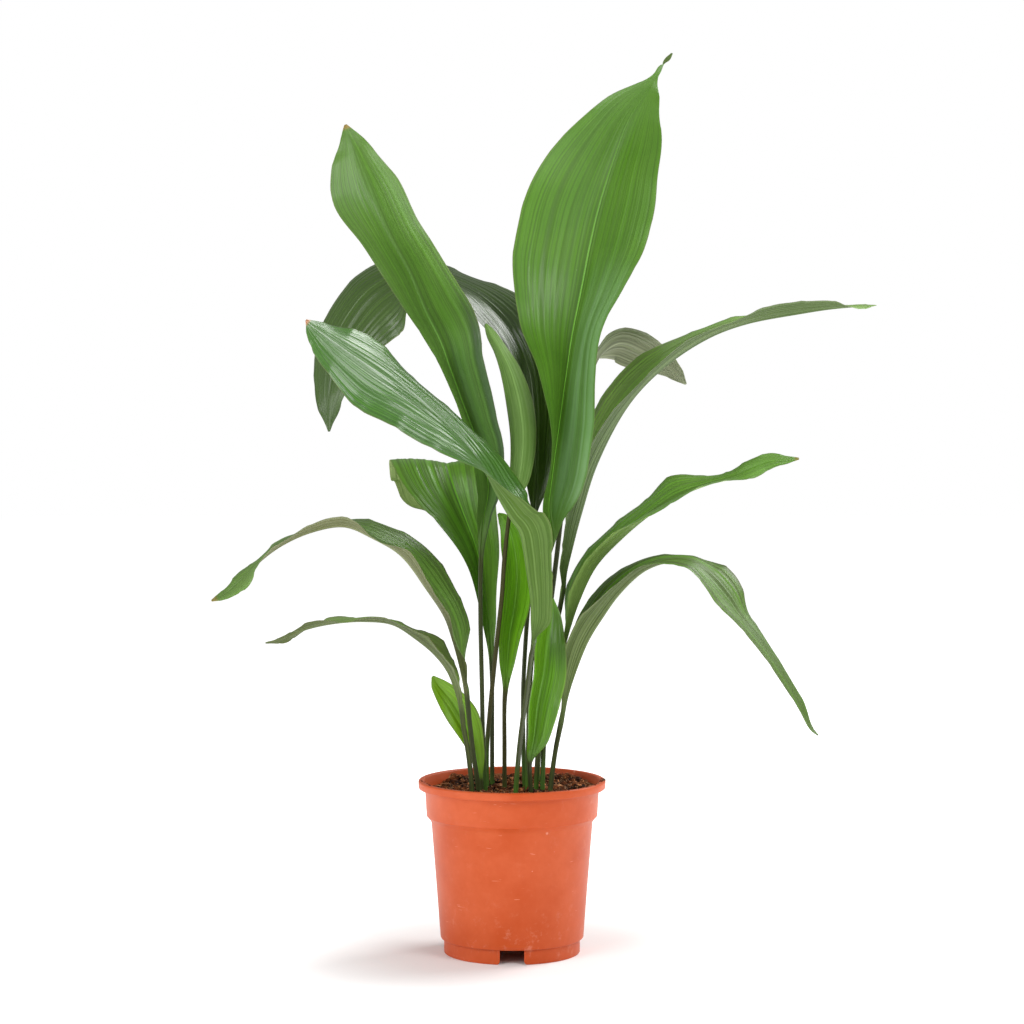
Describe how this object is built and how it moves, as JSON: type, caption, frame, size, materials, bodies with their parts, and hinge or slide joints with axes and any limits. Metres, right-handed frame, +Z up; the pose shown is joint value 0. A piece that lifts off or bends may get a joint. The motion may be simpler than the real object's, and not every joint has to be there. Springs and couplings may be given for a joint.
{
  "type": "potted cast iron plant",
  "caption": "Tall arching cast iron plant with long ribbed strap leaves on thin stalks, rising from soil in a round terracotta-coloured plastic nursery pot.",
  "frame": {"origin": "on the floor under the middle of the whole plant's box", "axes": "+Z up along the pot's axis; -Y is the side seen first; the tall leaves lean left and right along X"},
  "size_m": [0.5234, 0.244, 0.7184],
  "materials": {
    "pot_plastic": "satin",
    "soil": "matte",
    "leaf": "satin",
    "young_leaf": "satin"
  },
  "bodies": {
    "root": {"pot": "pot_plastic", "soil": "soil", "leaf_tall_right": "leaf", "leaf_tall_left": "leaf", "leaf_front": "leaf", "leaf_back_left": "leaf", "leaf_middle": "leaf", "leaf_long_right": "leaf", "leaf_back_right": "leaf", "leaf_mid_right": "leaf", "leaf_low_right": "leaf", "leaf_mid_left": "leaf", "leaf_low_left": "leaf", "leaf_young_left": "young_leaf", "leaf_folded_left": "leaf", "leaf_young_middle": "young_leaf", "leaf_young_right": "young_leaf"}
  },
  "joints": []
}
